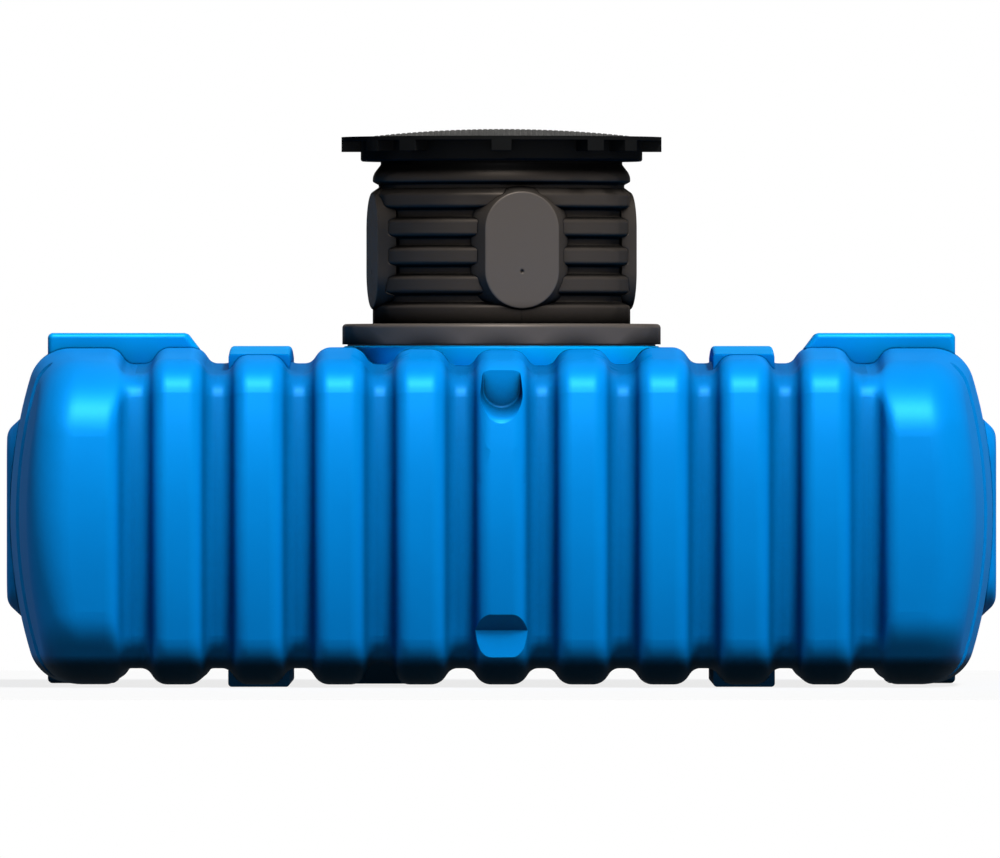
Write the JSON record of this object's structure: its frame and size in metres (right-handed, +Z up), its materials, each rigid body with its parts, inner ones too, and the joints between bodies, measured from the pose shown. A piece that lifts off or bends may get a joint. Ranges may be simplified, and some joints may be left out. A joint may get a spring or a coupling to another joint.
{
  "type": "underground cistern",
  "caption": "Low, long ribbed underground rainwater cistern with domed ends, skids and roof blocks, and a round access riser with a lift-off walk-on lid.",
  "frame": {"origin": "middle of the footprint at the underside of the skids", "axes": "+X along the length to the right of the picture, +Y to the back, +Z up"},
  "size_m": [2.468, 1.95, 1.386],
  "materials": {
    "tank_plastic": "satin moulded",
    "riser_plastic": "satin moulded",
    "cover_plastic": "matte moulded",
    "seal_rubber": "matte"
  },
  "bodies": {
    "tank": {"back_floor_corner": "tank_plastic", "back_roof_corner": "tank_plastic", "back_wall": "tank_plastic", "cover_frame": "cover_plastic", "floor_panel": "tank_plastic", "floor_web": "tank_plastic", "front_floor_corner": "tank_plastic", "front_roof_corner": "tank_plastic", "front_wall": "tank_plastic", "left_end": "tank_plastic", "left_end_foot": "tank_plastic", "left_end_pad": "tank_plastic", "left_roof_block": "tank_plastic", "left_saddle": "tank_plastic", "left_skid": "tank_plastic", "neck_platform": "tank_plastic", "platform_gasket": "seal_rubber", "right_end": "tank_plastic", "right_end_foot": "tank_plastic", "right_end_pad": "tank_plastic", "right_roof_block": "tank_plastic", "right_saddle": "tank_plastic", "right_skid": "tank_plastic", "riser_collar": "riser_plastic", "riser_flange": "riser_plastic", "riser_pad_back": "riser_plastic", "riser_pad_front": "riser_plastic", "riser_pad_left": "riser_plastic", "riser_pad_right": "riser_plastic", "riser_wall_back_left": "riser_plastic", "riser_wall_back_right": "riser_plastic", "riser_wall_front_left": "riser_plastic", "riser_wall_front_right": "riser_plastic", "roof_panel": "tank_plastic"},
    "lid": {"lid": "cover_plastic"}
  },
  "joints": [
    {"name": "lid_lift", "type": "slide", "parent": "tank", "child": "lid", "axis": [0, 0, 1], "range_m": [0, 0.5]}
  ]
}
